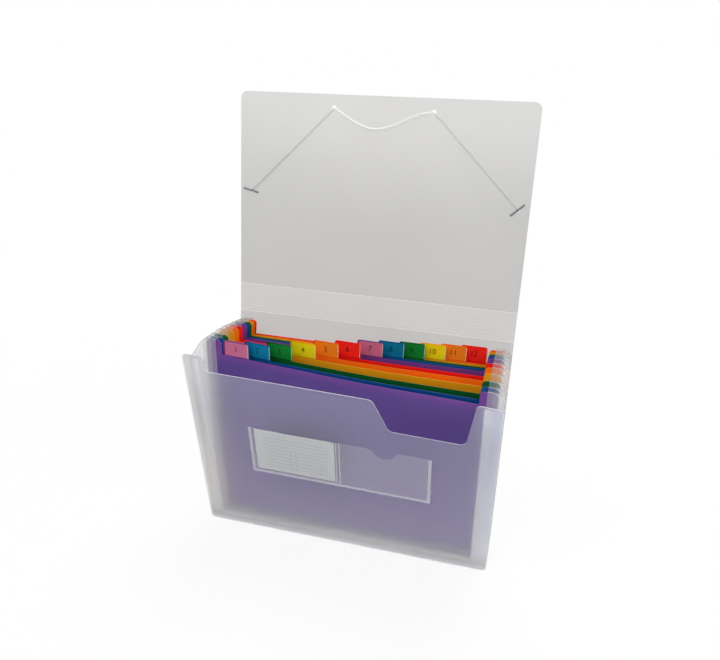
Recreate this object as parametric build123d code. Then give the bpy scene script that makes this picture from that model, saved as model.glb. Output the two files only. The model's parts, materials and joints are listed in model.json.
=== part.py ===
"""Accordion file folder: thirteen fanned pockets between a front panel and a back panel with a flap.

Millimetres. X runs left to right, -Y is the front, +Z is up. The file stands open on the lower edges of its
front and back panels, and the origin is on the floor under the middle of its box.
"""
import os
from math import atan2, cos, degrees, radians, sin, tan

from build123d import *

# Cover: front panel, back panel, spine and flap
COVER_WIDTH = 330.0
COVER_THICKNESS = 0.8
COVER_CORNER_RADIUS = 4.0
FRONT_EDGE_HEIGHT = 214.0
EAR_WIDTH = 25.0
EAR_RISE = 18.0
EAR_RADIUS = 5.0
EAR_FOOT_RADIUS = 3.0
BACK_HEIGHT = 238.0
SPINE_WIDTH = 34.0
FLAP_LENGTH = 221.0
FLAP_CORNER_RADIUS = 8.0
FLAP_LEAN = 3.5

# Finger notch in the front panel's upper edge
NOTCH_DEPTH = 36.0
NOTCH_BOTTOM_WIDTH = 77.0
NOTCH_LEFT_FLANK = 17.0
NOTCH_RIGHT_FLANK = 8.0
NOTCH_RADIUS = 7.0

# Creases: each sheet ends in a round nose on the fold line, and the next sheet starts clear of it
CREASE_CLEARANCE = 0.3
SCORE_COUNT = 5
SCORE_WIDTH = 0.8
SCORE_DEPTH = 0.25
SCORE_BAND = 20.0

# Fan: neighbouring sheets are parallel when closed, and each pocket opens about a line under its bottom edge
CLOSED_PITCH = 2.2
PIVOT_DROP = 72.0
FAN_ANGLE = 22.1
POCKET_SHARES = (
    0.221, 0.050, 0.075, 0.120, 0.100, 0.075,
    0.100, 0.050, 0.0355, 0.0355, 0.0355, 0.0355, 0.067,
)

# Dividers, front to back, with one staggered tab each
DIVIDER_SIDE_MARGIN = 7.0
DIVIDER_THICKNESS = 0.4
DIVIDER_FOOT = 15.0
DIVIDER_EDGE_HEIGHT = 213.0
DIVIDER_EAR_WIDTH = 18.0
DIVIDER_EAR_RISE = 16.0
DIVIDER_EAR_RADIUS = 4.0
TAB_WIDTH = 30.0
TAB_RISE = 18.0
TAB_RADIUS = 3.0
TAB_END_MARGIN = 20.0

# Tab sleeve: a film over the tab, welded at its sides and foot and open at the top, with a paper insert
SLEEVE_MARGIN = 1.2
SLEEVE_WELD = 1.4
SLEEVE_GAP = 0.3
SLEEVE_FILM = 0.2
INSERT_THICKNESS = 0.2
INSERT_SIDE_CLEARANCE = 0.4

# Gussets: pleated film with its folds in line with the cover's side edges
GUSSET_FILM = 0.25
GUSSET_DEPTH = 18.0
GUSSET_HEIGHT = 230.0
GUSSET_FOOT = 5.0
GUSSET_WELD_CLEARANCE = 0.05
BOTTOM_FOLD_HEIGHT = 3.0
BOTTOM_WELD_OVERLAP = 3.0
BOTTOM_PLEAT_INSET = 1.0

# Label holder on the front panel, cut to its cards, and the card in its left compartment
LABEL_FOOT = 90.0
LABEL_LIP = 0.9
LABEL_WELD = 5.0
LABEL_GAP = 0.5
LABEL_FILM = 0.3
LABEL_RADIUS = 2.0
THUMB_WIDTH = 28.0
THUMB_DEPTH = 11.0
CARD_WIDTH = 90.0
CARD_HEIGHT = 55.0
CARD_THICKNESS = 0.3
CARD_CLEARANCE = 0.1
CARD_SIDE_CLEARANCE = 1.25
CARD_RADIUS = 1.5

# Elastic cord with its metal T-bars, and its holes in the flap
CORD_DIAMETER = 2.5
CORD_SIDES = 8
CORD_HOLE = 5.0
CORD_FACE_CLEARANCE = 0.1
CORD_BEND_RADIUS = 2.6
CORD_CROSSING_RUN = 2.0
CORD_BEND_SHARE = 0.45
SIDE_HOLE_INSET = 13.0
SIDE_HOLE_HEIGHT = 112.0
TOP_HOLE_INSET = 14.0
TOP_HOLE_SPACING = 110.0
TIP_LENGTH = 19.0
TIP_DIAMETER = 2.2
TIP_END_CHAMFER = 0.5
TIP_LEFT_TILT = 13.0
TIP_RIGHT_TILT = -43.0
FERRULE_DIAMETER = 3.4
FERRULE_LENGTH = 1.2

# The slack middle of the cord on the flap's inner face: across from the middle, and down from the top holes
CORD_SLACK_POINTS = ((-34.0, 13.0), (-11.0, 22.0), (13.0, 16.0), (35.0, 4.0))

CUT_OVERRUN = 5.0

# Places worked out from the sizes above
POCKET_COUNT = len(POCKET_SHARES)
DIVIDER_COUNT = POCKET_COUNT - 1
HALF_COVER = COVER_THICKNESS / 2
HALF_DIVIDER = DIVIDER_THICKNESS / 2
DIVIDER_WIDTH = COVER_WIDTH - 2 * DIVIDER_SIDE_MARGIN
TAB_SPAN = DIVIDER_WIDTH - 2 * TAB_END_MARGIN - TAB_WIDTH
LABEL_WIDTH = 2 * (CARD_WIDTH + 2 * CARD_SIDE_CLEARANCE) + 3 * LABEL_WELD
LABEL_HEIGHT = LABEL_WELD + CARD_CLEARANCE + CARD_HEIGHT + LABEL_LIP
TOP_HOLE_HEIGHT = FLAP_LENGTH - TOP_HOLE_INSET
EAR_TOP = FRONT_EDGE_HEIGHT + EAR_RISE
EAR_INNER_X = COVER_WIDTH / 2 - EAR_WIDTH
CREASE_START = HALF_COVER + CREASE_CLEARANCE


def pocket_angle(pocket):
    """Degrees that pocket 1 (front) to the last (back) stands open."""
    return FAN_ANGLE * POCKET_SHARES[pocket - 1] / sum(POCKET_SHARES)


def opened_fan():
    """Each sheet's turn about X and the middle of its foot, in the back panel's own frame."""
    turn, foot_y, foot_z = 0.0, 0.0, 0.0
    sheets = [(turn, foot_y, foot_z)]
    for pocket in range(POCKET_COUNT, 0, -1):
        angle = radians(pocket_angle(pocket))
        step_y = -CLOSED_PITCH * cos(angle) - PIVOT_DROP * sin(angle)
        step_z = -CLOSED_PITCH * sin(angle) + PIVOT_DROP * cos(angle) - PIVOT_DROP
        foot_y += step_y * cos(turn) - step_z * sin(turn)
        foot_z += step_y * sin(turn) + step_z * cos(turn)
        turn += angle
        sheets.append((turn, foot_y, foot_z))
    return sheets[::-1]


def standing_frames():
    """Locations of the sheets, front panel first, with the front and back feet on the floor."""
    sheets = opened_fan()
    front_turn, front_y, front_z = sheets[0]
    back_lean = atan2(-front_z, -front_y)
    tilted = []
    for turn, foot_y, foot_z in sheets:
        y = foot_y * cos(back_lean) + foot_z * sin(back_lean)
        z = -foot_y * sin(back_lean) + foot_z * cos(back_lean)
        tilted.append((turn - back_lean, y, z))
    front_reach = tilted[0][1] - EAR_TOP * sin(tilted[0][0]) - HALF_COVER * cos(tilted[0][0])
    lean = radians(FLAP_LEAN)
    crease_y = BACK_HEIGHT * sin(back_lean)
    back_reach = crease_y + (SPINE_WIDTH + FLAP_LENGTH) * sin(lean) + HALF_COVER * cos(lean)
    middle = (front_reach + back_reach) / 2
    return [Location((0, y - middle, z), (degrees(turn), 0, 0)) for turn, y, z in tilted]


FRAMES = standing_frames()
FRONT_FRAME = FRAMES[0]
BACK_FRAME = FRAMES[-1]
CREASE_POINT = (BACK_FRAME * Location((0, 0, BACK_HEIGHT))).position
SPINE_FRAME = Location(CREASE_POINT, (-FLAP_LEAN, 0, 0))
FLAP_FRAME = SPINE_FRAME * Location((0, 0, SPINE_WIDTH))


def rounded_face(corners):
    """A face on the XZ plane from (x, z, corner radius) rows."""
    points = [(x, z) for x, z, _ in corners]
    radii = [radius for _, _, radius in corners]
    return Plane.XZ * make_face(FilletPolyline(*points, radius=radii, close=True))


def sheet(corners, thickness):
    """A flat sheet standing on the XZ plane, half its thickness each side of it."""
    return extrude(rounded_face(corners), amount=thickness / 2, both=True)


def block(x_min, x_max, y_min, y_max, z_min, z_max):
    """A box between its own limits."""
    box = Box(x_max - x_min, y_max - y_min, z_max - z_min)
    return Pos((x_min + x_max) / 2, (y_min + y_max) / 2, (z_min + z_max) / 2) * box


def on_floor(solid):
    """Cut a sheet's foot level with the floor that it stands on."""
    return split(solid, bisect_by=Plane.XY, keep=Keep.TOP)


def make_front_panel():
    half = COVER_WIDTH / 2
    foot = -COVER_THICKNESS
    notch_right = EAR_INNER_X - NOTCH_RIGHT_FLANK
    notch_left = notch_right - NOTCH_BOTTOM_WIDTH
    notch_foot = FRONT_EDGE_HEIGHT - NOTCH_DEPTH
    corners = [
        (-half, foot, COVER_CORNER_RADIUS),
        (half, foot, COVER_CORNER_RADIUS),
        (half, EAR_TOP, EAR_RADIUS),
        (EAR_INNER_X, EAR_TOP, EAR_RADIUS),
        (notch_right, notch_foot, NOTCH_RADIUS),
        (notch_left, notch_foot, NOTCH_RADIUS),
        (notch_left - NOTCH_LEFT_FLANK, FRONT_EDGE_HEIGHT, NOTCH_RADIUS),
        (-EAR_INNER_X, FRONT_EDGE_HEIGHT, EAR_FOOT_RADIUS),
        (-EAR_INNER_X, EAR_TOP, EAR_RADIUS),
        (-half, EAR_TOP, EAR_RADIUS),
    ]
    return on_floor(FRONT_FRAME * sheet(corners, COVER_THICKNESS))


def crease_nose(height):
    """The round end of a sheet on its fold line."""
    return Pos(0, 0, height) * Rot(0, 90, 0) * Cylinder(HALF_COVER, COVER_WIDTH)


def make_back_panel():
    half = COVER_WIDTH / 2
    foot = -COVER_THICKNESS
    corners = [
        (-half, foot, COVER_CORNER_RADIUS),
        (half, foot, COVER_CORNER_RADIUS),
        (half, BACK_HEIGHT, 0),
        (-half, BACK_HEIGHT, 0),
    ]
    panel = sheet(corners, COVER_THICKNESS) + crease_nose(BACK_HEIGHT)
    return on_floor(BACK_FRAME * panel)


def make_spine():
    """The strip between the two creases, with score lines across its lower part on the inner face."""
    half = COVER_WIDTH / 2
    strip = block(-half, half, -HALF_COVER, HALF_COVER, CREASE_START, SPINE_WIDTH)
    strip += crease_nose(SPINE_WIDTH)
    pitch = SCORE_BAND / SCORE_COUNT
    for index in range(SCORE_COUNT):
        height = CREASE_START + pitch * (index + 1)
        strip -= block(
            -half - CUT_OVERRUN,
            half + CUT_OVERRUN,
            -HALF_COVER - CUT_OVERRUN,
            -HALF_COVER + SCORE_DEPTH,
            height - SCORE_WIDTH / 2,
            height + SCORE_WIDTH / 2,
        )
    return SPINE_FRAME * strip


def cord_holes():
    """The flap's cord holes as (x, z): left side, left top, right top, right side."""
    side, top = COVER_WIDTH / 2 - SIDE_HOLE_INSET, TOP_HOLE_SPACING / 2
    return [
        (-side, SIDE_HOLE_HEIGHT),
        (-top, TOP_HOLE_HEIGHT),
        (top, TOP_HOLE_HEIGHT),
        (side, SIDE_HOLE_HEIGHT),
    ]


def make_flap():
    half = COVER_WIDTH / 2
    corners = [
        (-half, CREASE_START, 0),
        (half, CREASE_START, 0),
        (half, FLAP_LENGTH, FLAP_CORNER_RADIUS),
        (-half, FLAP_LENGTH, FLAP_CORNER_RADIUS),
    ]
    flap = sheet(corners, COVER_THICKNESS)
    for x, z in cord_holes():
        flap -= Pos(x, 0, z) * Rot(90, 0, 0) * Cylinder(CORD_HOLE / 2, COVER_THICKNESS + CUT_OVERRUN)
    return FLAP_FRAME * flap


def tab_centre(number):
    """X of a divider's tab: the tabs step from left to right, front to back."""
    return TAB_SPAN * ((number - 1) / (DIVIDER_COUNT - 1)) - TAB_SPAN / 2


def tab_slip(inset):
    """The limits x_min, x_max, z_min, z_max of the tab less an inset at its sides and foot."""
    x_min, x_max = -TAB_WIDTH / 2 + inset, TAB_WIDTH / 2 - inset
    return x_min, x_max, DIVIDER_EDGE_HEIGHT + inset, DIVIDER_EDGE_HEIGHT + TAB_RISE - SLEEVE_MARGIN


def make_divider(number):
    """A tinted sheet with an ear at each end, one tab, and the tab's sleeve on its front face."""
    half = DIVIDER_WIDTH / 2
    ear_x = half - DIVIDER_EAR_WIDTH
    ear_top = DIVIDER_EDGE_HEIGHT + DIVIDER_EAR_RISE
    corners = [
        (-half, DIVIDER_FOOT, 0),
        (half, DIVIDER_FOOT, 0),
        (half, ear_top, DIVIDER_EAR_RADIUS),
        (ear_x, ear_top, DIVIDER_EAR_RADIUS),
        (ear_x, DIVIDER_EDGE_HEIGHT, EAR_FOOT_RADIUS),
        (-ear_x, DIVIDER_EDGE_HEIGHT, EAR_FOOT_RADIUS),
        (-ear_x, ear_top, DIVIDER_EAR_RADIUS),
        (-half, ear_top, DIVIDER_EAR_RADIUS),
    ]
    tab_corners = [
        (-TAB_WIDTH / 2, DIVIDER_EDGE_HEIGHT - TAB_RADIUS, 0),
        (TAB_WIDTH / 2, DIVIDER_EDGE_HEIGHT - TAB_RADIUS, 0),
        (TAB_WIDTH / 2, DIVIDER_EDGE_HEIGHT + TAB_RISE, TAB_RADIUS),
        (-TAB_WIDTH / 2, DIVIDER_EDGE_HEIGHT + TAB_RISE, TAB_RADIUS),
    ]
    x_min, x_max, z_min, z_max = tab_slip(SLEEVE_MARGIN)
    face = -HALF_DIVIDER
    film_back = face - SLEEVE_GAP
    film_front = film_back - SLEEVE_FILM
    tab = sheet(tab_corners, DIVIDER_THICKNESS)
    tab += block(x_min, x_max, film_front, face, z_min, z_max)
    x_in, x_out, z_in, _ = tab_slip(SLEEVE_MARGIN + SLEEVE_WELD)
    tab -= block(x_in, x_out, film_back, face, z_in, z_max + CUT_OVERRUN)
    return FRAMES[number] * (sheet(corners, DIVIDER_THICKNESS) + Pos(tab_centre(number), 0, 0) * tab)


def make_tab_insert(number):
    """The paper slip inside a tab's sleeve."""
    x_min, x_max, z_min, z_max = tab_slip(SLEEVE_MARGIN + SLEEVE_WELD + INSERT_SIDE_CLEARANCE)
    play = (SLEEVE_GAP - INSERT_THICKNESS) / 2
    back = -HALF_DIVIDER - play
    slip = block(x_min, x_max, back - INSERT_THICKNESS, back, z_min, z_max)
    return FRAMES[number] * Pos(tab_centre(number), 0, 0) * slip


def half_sheet(index):
    """Half the thickness of the front panel (0), a divider or the back panel (last)."""
    return HALF_COVER if index in (0, POCKET_COUNT) else HALF_DIVIDER


def pocket_wall(pocket, height):
    """The (y, z) of a pocket's front and rear weld lines at a height on its two sheets."""
    front, rear = FRAMES[pocket - 1], FRAMES[pocket]
    front_face = half_sheet(pocket - 1) + GUSSET_WELD_CLEARANCE
    rear_face = half_sheet(pocket) + GUSSET_WELD_CLEARANCE
    front_point = (front * Location((0, front_face, height))).position
    rear_point = (rear * Location((0, -rear_face, height))).position
    return Vector(0, front_point.Y, front_point.Z), Vector(0, rear_point.Y, rear_point.Z)


def chevron(front_end, rear_end, fold):
    """The six corners of a V of film from one weld line out to the fold and back to the other."""
    middle = (front_end + rear_end) / 2
    reach = fold - middle
    across = rear_end - front_end
    slope = (across.length / 2) / reach.length
    film = across.normalized() * (GUSSET_FILM * (1 + slope**2) ** 0.5)
    inner_fold = fold - reach.normalized() * (film.length / slope)
    return [front_end, fold, rear_end, rear_end - film, inner_fold, front_end + film]


def side_section(pocket, height, side):
    """The V of a side pleat at one height, on the left (-1) or right (+1)."""
    front_end, rear_end = pocket_wall(pocket, height)
    weld = Vector(side * (COVER_WIDTH / 2 - GUSSET_DEPTH), 0, 0)
    fold = (front_end + rear_end) / 2 + Vector(side * COVER_WIDTH / 2, 0, 0)
    return Wire.make_polygon(chevron(front_end + weld, rear_end + weld, fold))


def make_gusset(pocket):
    """The film of one pocket: a V pleat at each side, opening upwards, and one under its bottom."""
    sides = [
        Solid.make_loft([side_section(pocket, height, side) for height in (GUSSET_FOOT, GUSSET_HEIGHT)], ruled=True)
        for side in (-1, 1)
    ]
    front_end, rear_end = pocket_wall(pocket, DIVIDER_FOOT + BOTTOM_WELD_OVERLAP)
    low_front, low_rear = pocket_wall(pocket, BOTTOM_FOLD_HEIGHT)
    half = COVER_WIDTH / 2 - GUSSET_DEPTH - BOTTOM_PLEAT_INSET
    start = Vector(-half, 0, 0)
    corners = [point + start for point in chevron(front_end, rear_end, (low_front + low_rear) / 2)]
    bottom = extrude(make_face(Polyline(*corners, close=True)), amount=2 * half, dir=(1, 0, 0))
    return Compound(children=[*sides, bottom])


def make_label_holder():
    """A film welded to the front panel round two compartments that open upwards."""
    half = LABEL_WIDTH / 2
    top = LABEL_FOOT + LABEL_HEIGHT
    corners = [
        (-half, LABEL_FOOT, LABEL_RADIUS),
        (half, LABEL_FOOT, LABEL_RADIUS),
        (half, top, LABEL_RADIUS),
        (-half, top, LABEL_RADIUS),
    ]
    depth = LABEL_GAP + LABEL_FILM
    holder = Pos(0, -HALF_COVER, 0) * extrude(rounded_face(corners), amount=depth)
    thumb_radius = (THUMB_WIDTH**2 / 4 + THUMB_DEPTH**2) / (2 * THUMB_DEPTH)
    for side in (-1, 1):
        x_min, x_max = sorted((side * LABEL_WELD / 2, side * (half - LABEL_WELD)))
        gap_front = -HALF_COVER - LABEL_GAP
        holder -= block(x_min, x_max, gap_front, -HALF_COVER, LABEL_FOOT + LABEL_WELD, top + CUT_OVERRUN)
        thumb = Cylinder(thumb_radius, 2 * depth + CUT_OVERRUN)
        centre_z = top - THUMB_DEPTH + thumb_radius
        holder -= Pos((x_min + x_max) / 2, -HALF_COVER, centre_z) * Rot(90, 0, 0) * thumb
    return FRONT_FRAME * holder


def make_index_card():
    """The card resting on the foot of the left compartment."""
    centre = -(LABEL_WIDTH / 2 - LABEL_WELD / 2) / 2
    foot = LABEL_FOOT + LABEL_WELD + CARD_CLEARANCE
    corners = [
        (centre - CARD_WIDTH / 2, foot, CARD_RADIUS),
        (centre + CARD_WIDTH / 2, foot, CARD_RADIUS),
        (centre + CARD_WIDTH / 2, foot + CARD_HEIGHT, CARD_RADIUS),
        (centre - CARD_WIDTH / 2, foot + CARD_HEIGHT, CARD_RADIUS),
    ]
    return FRONT_FRAME * Pos(0, -HALF_COVER - LABEL_GAP / 2, 0) * sheet(corners, CARD_THICKNESS)


def make_cord_tip(hole, tilt):
    """A metal T-bar across a side hole on the inner face, with its ferrule through the hole."""
    x, z = hole
    bar_y = -HALF_COVER - CORD_FACE_CLEARANCE - TIP_DIAMETER / 2
    radius = TIP_DIAMETER / 2
    bar = Rot(0, 90, 0) * Cylinder(radius, TIP_LENGTH)
    bar = chamfer(bar.edges().filter_by(GeomType.CIRCLE), TIP_END_CHAMFER)
    bar = Pos(0, bar_y, 0) * Rot(0, tilt, 0) * bar
    ferrule_end = HALF_COVER + FERRULE_LENGTH
    ferrule = Rot(-90, 0, 0) * Cylinder(
        FERRULE_DIAMETER / 2, ferrule_end - bar_y, align=(Align.CENTER, Align.CENTER, Align.MIN)
    )
    return FLAP_FRAME * Pos(x, 0, z) * (bar + Pos(0, bar_y, 0) * ferrule)


def cord_route():
    """The cord's corner points in the flap's frame: left end and holes, slack middle, right holes and end."""
    left_side, left_top, right_top, right_side = [Vector(x, 0, z) for x, z in cord_holes()]
    face = Vector(0, HALF_COVER + CORD_FACE_CLEARANCE + CORD_DIAMETER / 2, 0)
    ferrule_end = Vector(0, HALF_COVER + FERRULE_LENGTH, 0)
    bend = ferrule_end + Vector(0, CORD_BEND_RADIUS + CORD_FACE_CLEARANCE, 0)
    slack = [Vector(x, -face.Y, TOP_HOLE_HEIGHT - drop) for x, drop in CORD_SLACK_POINTS]
    half_run = CORD_CROSSING_RUN / 2
    left_out = (left_top - left_side).normalized() * half_run
    left_in = (slack[0] + face - left_top).normalized() * half_run
    right_in = (right_top - slack[-1] - face).normalized() * half_run
    right_out = (right_side - right_top).normalized() * half_run
    left = [left_side + ferrule_end, left_side + bend, left_top - left_out + face, left_top + left_in - face]
    right = [right_top - right_in - face, right_top + right_out + face, right_side + bend, right_side + ferrule_end]
    return left, slack, right


def slack_radii(points):
    """The bend radius at each inner point of the slack, as large as its runs allow."""
    radii = []
    for before, corner, after in zip(points, points[1:], points[2:]):
        run = min((corner - before).length, (after - corner).length)
        turn = (corner - before).get_angle(after - corner)
        radii.append(CORD_BEND_SHARE * run / tan(radians(turn / 2)))
    return radii


def make_elastic_cord():
    """The cord's section swept from the left ferrule, through the four holes, to the right ferrule."""
    left, slack, right = cord_route()
    tight = [CORD_BEND_RADIUS]
    loose = slack_radii([left[-1], *slack, right[0]])
    radii = tight * (len(left) - 1) + loose + tight * (len(right) - 1)
    path = FilletPolyline(*left, *slack, *right, radius=radii)
    section = Plane(path @ 0, z_dir=path % 0) * RegularPolygon(CORD_DIAMETER / 2, CORD_SIDES)
    cord = sweep(section, path=path)
    print("cord bend radii:", [round(radius, 1) for radius in radii])
    print(f"cord length {path.length:.1f}, volume {cord.volume:.1f} of {section.area * path.length:.1f}")
    return FLAP_FRAME * cord


def make_parts():
    """Every piece by its node's name."""
    holes = cord_holes()
    parts = {
        "front_panel": make_front_panel(),
        "back_panel": make_back_panel(),
        "spine": make_spine(),
        "flap": make_flap(),
        "label_holder": make_label_holder(),
        "index_card": make_index_card(),
        "elastic_cord": make_elastic_cord(),
        "left_cord_tip": make_cord_tip(holes[0], TIP_LEFT_TILT),
        "right_cord_tip": make_cord_tip(holes[-1], TIP_RIGHT_TILT),
    }
    for number in range(1, DIVIDER_COUNT + 1):
        parts[f"divider_{number:02d}"] = make_divider(number)
        parts[f"tab_insert_{number:02d}"] = make_tab_insert(number)
    for pocket in range(1, POCKET_COUNT + 1):
        parts[f"gusset_{pocket:02d}"] = make_gusset(pocket)
    return parts


os.makedirs("parts", exist_ok=True)
for node, part in make_parts().items():
    export_step(part, f"parts/{node}.step")
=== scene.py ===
"""Dresses the accordion file folder: frosted covers, tinted dividers, pleats, card pocket and elastic."""
import json
import math

import bmesh
import bpy
from mathutils import Matrix, Vector
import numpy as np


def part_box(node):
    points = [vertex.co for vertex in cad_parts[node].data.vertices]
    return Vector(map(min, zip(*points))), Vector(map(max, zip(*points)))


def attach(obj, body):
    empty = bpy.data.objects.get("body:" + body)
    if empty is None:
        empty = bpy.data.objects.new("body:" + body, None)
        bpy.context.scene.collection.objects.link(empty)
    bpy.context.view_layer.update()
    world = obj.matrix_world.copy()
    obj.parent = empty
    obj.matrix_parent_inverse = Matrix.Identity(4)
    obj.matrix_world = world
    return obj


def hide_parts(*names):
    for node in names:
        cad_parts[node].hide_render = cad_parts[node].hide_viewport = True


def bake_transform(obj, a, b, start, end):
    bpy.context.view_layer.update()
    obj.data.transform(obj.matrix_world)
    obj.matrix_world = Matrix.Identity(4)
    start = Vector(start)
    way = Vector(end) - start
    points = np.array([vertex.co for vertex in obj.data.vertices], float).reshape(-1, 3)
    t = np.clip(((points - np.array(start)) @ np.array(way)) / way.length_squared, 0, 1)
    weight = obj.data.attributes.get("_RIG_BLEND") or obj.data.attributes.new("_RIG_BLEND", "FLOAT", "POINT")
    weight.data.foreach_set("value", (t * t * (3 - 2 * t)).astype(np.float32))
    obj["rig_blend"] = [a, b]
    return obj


bl_info = {
    "name": "Accordion File Folder",
    "version": (1, 0, 0),
    "blender": (4, 5, 0),
    "location": "View3D > Sidebar > File Folder",
    "description": "Builds the sheets, films, card pocket, elastic and studio of an expanding file",
    "category": "Add Mesh",
}

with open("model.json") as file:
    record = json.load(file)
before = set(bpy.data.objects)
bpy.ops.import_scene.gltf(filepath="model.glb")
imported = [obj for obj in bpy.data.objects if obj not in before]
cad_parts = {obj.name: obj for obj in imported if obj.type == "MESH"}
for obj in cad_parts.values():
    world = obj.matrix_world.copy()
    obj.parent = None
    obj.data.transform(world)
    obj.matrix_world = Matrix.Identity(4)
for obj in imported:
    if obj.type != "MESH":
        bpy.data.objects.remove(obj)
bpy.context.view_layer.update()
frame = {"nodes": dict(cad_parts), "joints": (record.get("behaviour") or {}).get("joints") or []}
JOINTS = {joint["name"]: joint for joint in frame["joints"]}

POCKET_COUNT = 13
DIVIDER_COUNT = POCKET_COUNT - 1
HUES = ("purple", "blue", "green", "amber", "orange", "red")

# Covers, in metres
COVER_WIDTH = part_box("front_panel")[1].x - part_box("front_panel")[0].x
COVER_THICKNESS = 0.0008
COVER_CORNER_RADIUS = 0.004
FRONT_EDGE_HEIGHT = 0.214
EAR_WIDTH = 0.025
EAR_RISE = 0.018
EAR_RADIUS = 0.005
EAR_FOOT_RADIUS = 0.003
EAR_TOP = FRONT_EDGE_HEIGHT + EAR_RISE
BACK_HEIGHT = 0.238
NOTCH_DEPTH = 0.036
NOTCH_BOTTOM_WIDTH = 0.077
NOTCH_LEFT_FLANK = 0.017
NOTCH_RIGHT_FLANK = 0.008
NOTCH_RADIUS = 0.007
FLAP_LENGTH = 0.221
FLAP_CORNER_RADIUS = 0.008
CREASE_START = 0.0007
# Painted light and shade: the heights over which the flap lightens towards its far end and the front sheet
# darkens towards its top
FLAP_PAINTED_LIGHT = (0.34, 0.49)
FRONT_PAINTED_SHADE = (0.03, 0.20)

# Dividers and their tabs
DIVIDER_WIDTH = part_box("divider_01")[1].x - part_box("divider_01")[0].x
DIVIDER_THICKNESS = 0.0004
DIVIDER_FOOT = 0.004
DIVIDER_EDGE_HEIGHT = 0.213
DIVIDER_EAR_WIDTH = 0.018
DIVIDER_EAR_RISE = 0.016
DIVIDER_EAR_RADIUS = 0.004
TAB_WIDTH = 0.030
TAB_RISE = 0.018
TAB_RADIUS = 0.003
TAB_TOP = DIVIDER_EDGE_HEIGHT + TAB_RISE
SLEEVE_FILM = 0.0002
SLEEVE_GAP = 0.0003
SLEEVE_INSET = 0.0008
SLIP_INSET = 0.0012
SLIP_SHIFT = 0.0008
SLIP_THICKNESS = 0.0002
# Painted light: the dividers' top band is given a brighter colour for the light that passes through where no
# sheet stands behind
TOP_BAND_PAINTED_LIGHT = (0.202, 0.213)
BOW_HALF_WIDTH = 0.147
BOW_CUTS_ACROSS = 24
BOW_CUTS_UP = 16
BEND_GROWTH = 1.3
LEAN_EDGE = 0.06
CURL_FOOT = 0.152
SKEWED_SHEETS = 8

# Pleated film
GUSSET_DEPTH = 0.018
GUSSET_HEIGHT = 0.230
WELD_CLEARANCE = 0.00005
BOTTOM_FOLD_HEIGHT = 0.003
BOTTOM_WELD_HEIGHT = 0.018
MITRE_GAP = 0.0003
PLEAT_NOSE = 0.16
PLEAT_TOP_DROP = 0.010
PLEAT_TOP_ROUND = 8
PLEAT_CLING = 4.0
PLEAT_STEPS = 20
PLEAT_ROWS = 10
PLEAT_RIM = 0.0009

# The film's margin on the front panel: its haze by the distance from an edge. Near the edges the haze is the
# milky welded margin; its long faint tail inwards is painted light, standing in for light scattered from the
# bottom film
FLANGE_INSET = 0.0006
FLANGE_GAP = 0.0004
# Painted shade: the heights over which the film margin's darker foot tone gives way to its side tones
FOOT_SHADE = (0.010, 0.030)
LEFT_HAZE = (
    (0.0, 0.76),
    (0.010, 0.74),
    (0.018, 0.62),
    (0.024, 0.43),
    (0.030, 0.22),
    (0.036, 0.15),
    (0.044, 0.08),
    (0.056, 0.0),
)
RIGHT_HAZE = (
    (0.0, 0.72),
    (0.006, 0.70),
    (0.012, 0.55),
    (0.018, 0.30),
    (0.024, 0.10),
    (0.030, 0.08),
    (0.050, 0.05),
    (0.090, 0.0),
)
BOTTOM_HAZE = (
    (0.0, 0.80),
    (0.004, 0.76),
    (0.0086, 0.58),
    (0.0146, 0.34),
    (0.021, 0.20),
    (0.033, 0.14),
    (0.050, 0.08),
    (0.085, 0.0),
)

# Label holder and card, on the front panel's outer face
LABEL_WIDTH = 0.200
LABEL_HEIGHT = 0.061
LABEL_FOOT = 0.090
LABEL_WELD = 0.005
LABEL_GAP = 0.0005
LABEL_RADIUS = 0.002
LABEL_FILM = 0.0003
# Painted highlight: a pale strip round the pocket film's outline, in the weld finish, for light caught at
# the film's cut edge
LABEL_HIGHLIGHT_RIM = 0.0007
THUMB_WIDTH = 0.028
THUMB_DEPTH = 0.011
THUMB_STEPS = 14
WELD_BEAD = 0.0034
WELD_RISE = 0.00025
MIDDLE_BEAD = 0.0014

# Card print, from its lower left corner: marks as middle and half sizes
RULE_PITCH = 0.0048
RULE_WIDTH = 0.0008
RULED_AREA = (0.046, 0.026, 0.037, 0.0205)
RULE_MARKS = (
    (0.040, 0.018, 0.0004, 0.0145),
    (0.046, 0.018, 0.0004, 0.0145),
    (0.074, 0.013, 0.0004, 0.006),
    (0.080, 0.013, 0.0004, 0.006),
    (0.077, 0.007, 0.003, 0.0004),
    (0.077, 0.019, 0.003, 0.0004),
)

# Elastic cord, in the flap's own frame, from the left tip to the right one
CORD_DIAMETER = 0.0025
CORD_HOLE = 0.005
CORD_HOLES = ((-0.152, 0.112), (-0.055, 0.207), (0.055, 0.207), (0.152, 0.112))
CORD_ROUTE = (
    (-0.15200, 0.00160, 0.11200),
    (-0.15200, 0.00430, 0.11200),
    (-0.05571, 0.00175, 0.20630),
    (-0.05415, -0.00175, 0.20647),
    (-0.03400, -0.00175, 0.19400),
    (-0.01100, -0.00175, 0.18500),
    (0.01300, -0.00175, 0.19100),
    (0.03500, -0.00175, 0.20300),
    (0.05402, -0.00175, 0.20680),
    (0.05571, 0.00175, 0.20630),
    (0.15200, 0.00430, 0.11200),
    (0.15200, 0.00160, 0.11200),
)
CORD_ORDER = 3
CORD_CURVE_STEPS = 12
CORD_RING_STEPS = 3

# Camera fitted to the photograph, whose frame is 720 x 660
CAMERA_PLACE = (0.17027, -0.65308, 0.49370)
CAMERA_YAW = 14.316
CAMERA_PITCH = 19.785
CAMERA_ROLL = 2.153
CAMERA_FOCAL_PIXELS = 665.65
PHOTO_WIDTH = 720
SENSOR_WIDTH = 36.0
NEAREST_SEEN = 0.01

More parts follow.
